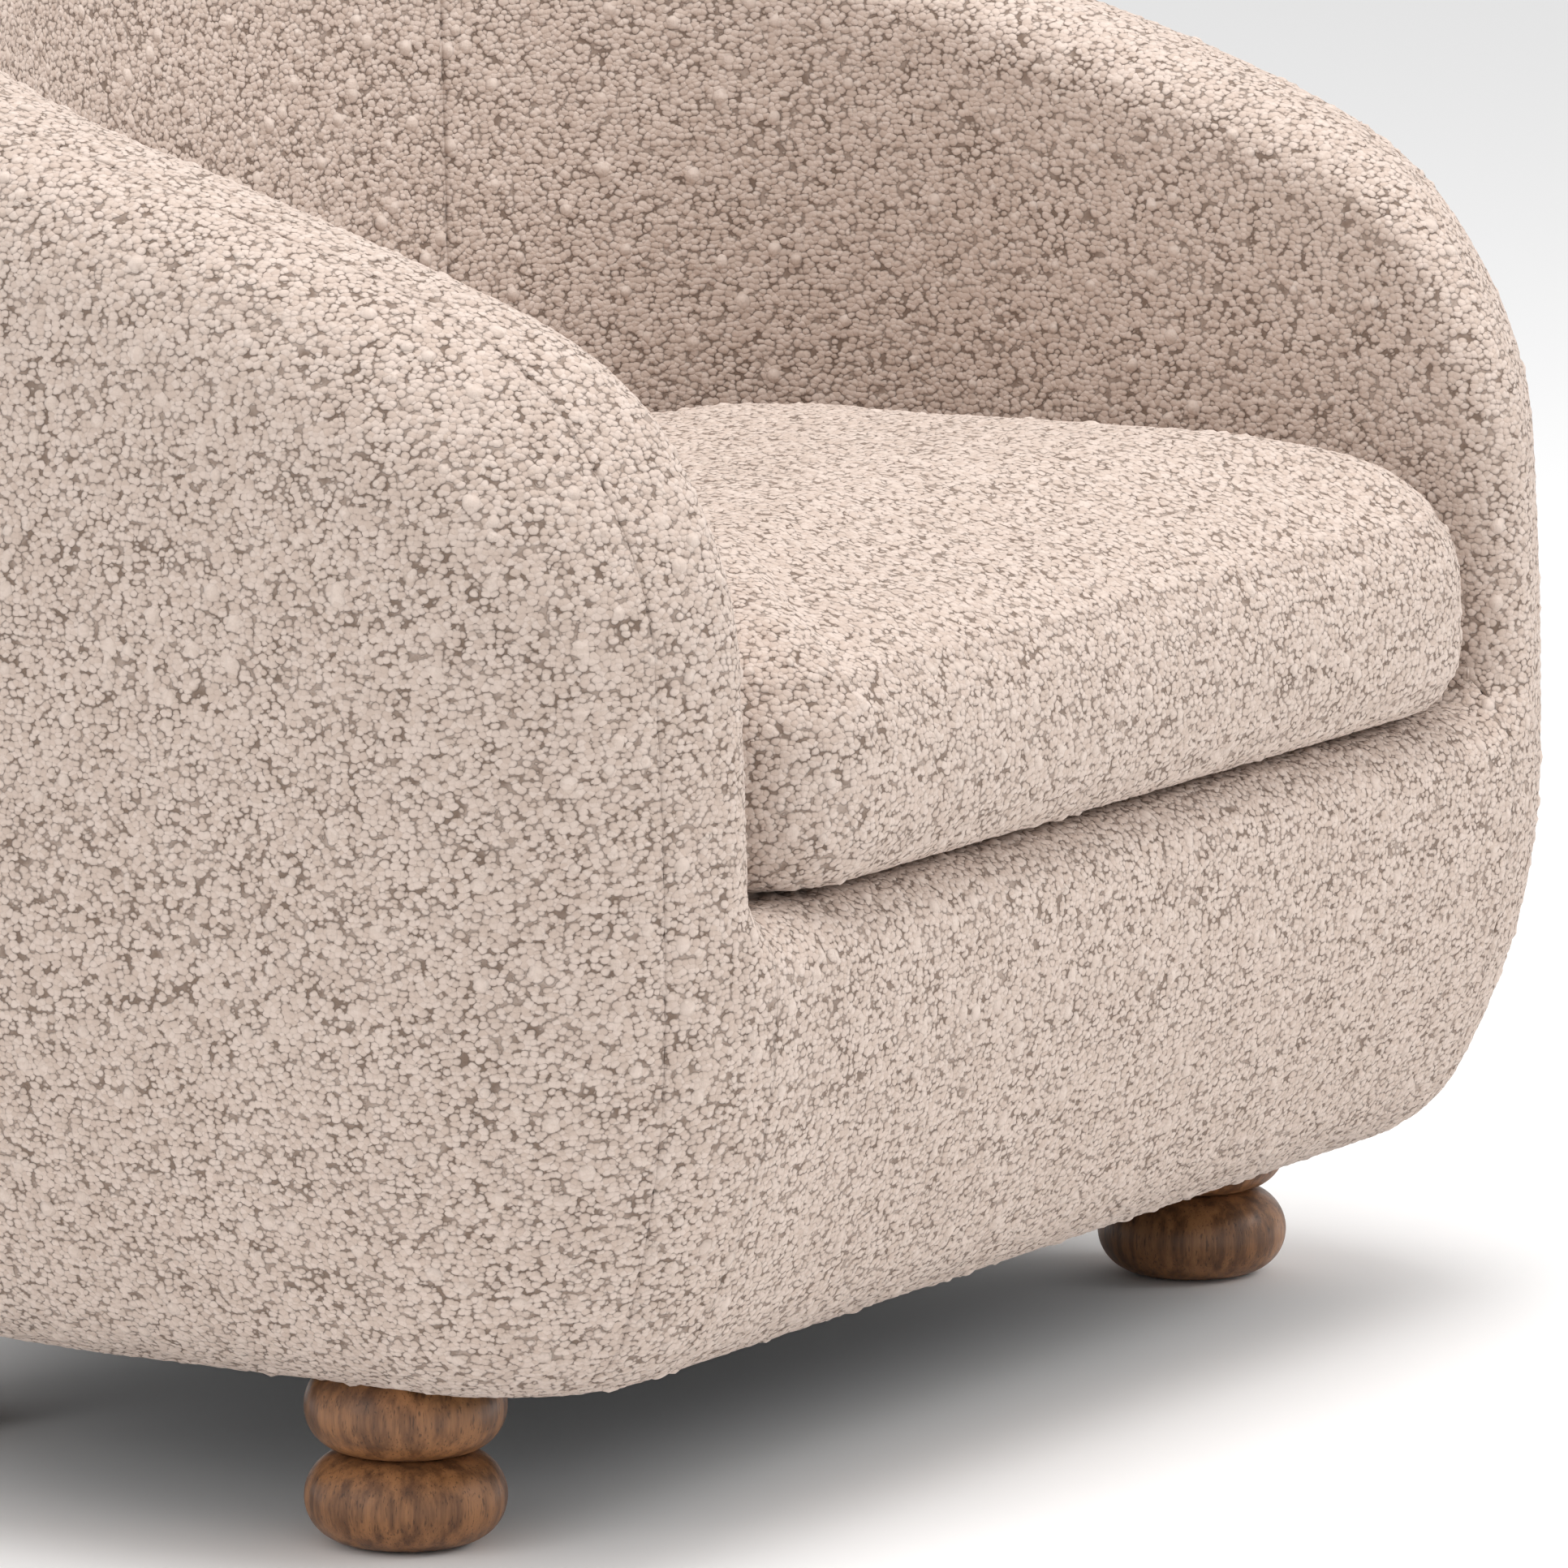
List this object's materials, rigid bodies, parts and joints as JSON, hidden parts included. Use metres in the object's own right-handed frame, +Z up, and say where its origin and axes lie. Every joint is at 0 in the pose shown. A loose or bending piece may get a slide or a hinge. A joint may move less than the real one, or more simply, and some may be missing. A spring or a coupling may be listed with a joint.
{
  "type": "lounge chair",
  "caption": "Wide tub lounge chair in nubby boucle with sloping rounded arms, a barrel back, a loose crowned seat cushion and turned double-bun wooden feet.",
  "frame": {"origin": "on the floor, under the middle of the chair's overall box", "axes": "+Z up, -Y out of the front of the seat, +X to the seated person's left"},
  "size_m": [1.0638, 0.786, 0.7647],
  "materials": {
    "boucle": "looped taupe boucle with raised nubs",
    "foot_wood": "satin walnut-brown stain",
    "plywood": "bare birch plywood",
    "frame_wood": "bare sawn hardwood",
    "foam": "open-cell upholstery foam",
    "webbing": "woven elastic webbing",
    "deck_cloth": "plain woven decking cloth",
    "dust_cloth": "non-woven black cambric",
    "zinc_steel": "zinc plated",
    "felt": "pressed felt"
  },
  "bodies": {
    "tub": {"base_board": "plywood", "front_rail": "frame_wood", "back_rail": "frame_wood", "side_rail_left": "frame_wood", "side_rail_right": "frame_wood", "corner_blocks": "frame_wood", "arm_panel_left": "plywood", "arm_panel_right": "plywood", "arm_ribs_left": "plywood", "arm_ribs_right": "plywood", "arm_top_rail_left": "frame_wood", "arm_top_rail_right": "frame_wood", "back_ribs": "plywood", "back_bow": "plywood", "long_webbing": "webbing", "cross_webbing": "webbing", "deck_pad": "foam", "deck_cloth": "deck_cloth", "front_padding": "foam", "front_cover": "boucle", "arm_front_pad_left": "foam", "arm_front_pad_right": "foam", "arm_padding_left": "foam", "arm_padding_right": "foam", "back_padding": "foam", "outer_cover_left": "boucle", "outer_cover_right": "boucle", "outer_cover_back": "boucle", "inside_cover_left": "boucle", "inside_cover_right": "boucle", "inside_cover_back": "boucle", "dust_cover": "dust_cloth", "foot_front_left": "foot_wood", "foot_front_right": "foot_wood", "foot_back_left": "foot_wood", "foot_back_right": "foot_wood", "foot_bolts": "zinc_steel", "tee_nuts": "zinc_steel", "foot_glides": "felt"},
    "seat_cushion": {"cushion_foam": "foam", "cushion_top": "boucle", "cushion_bottom": "boucle", "cushion_boxing": "boucle"}
  },
  "joints": [
    {"name": "cushion_lift", "type": "slide", "parent": "tub", "child": "seat_cushion", "axis": [0, 0, 1], "range_m": [0, 0.45]}
  ]
}
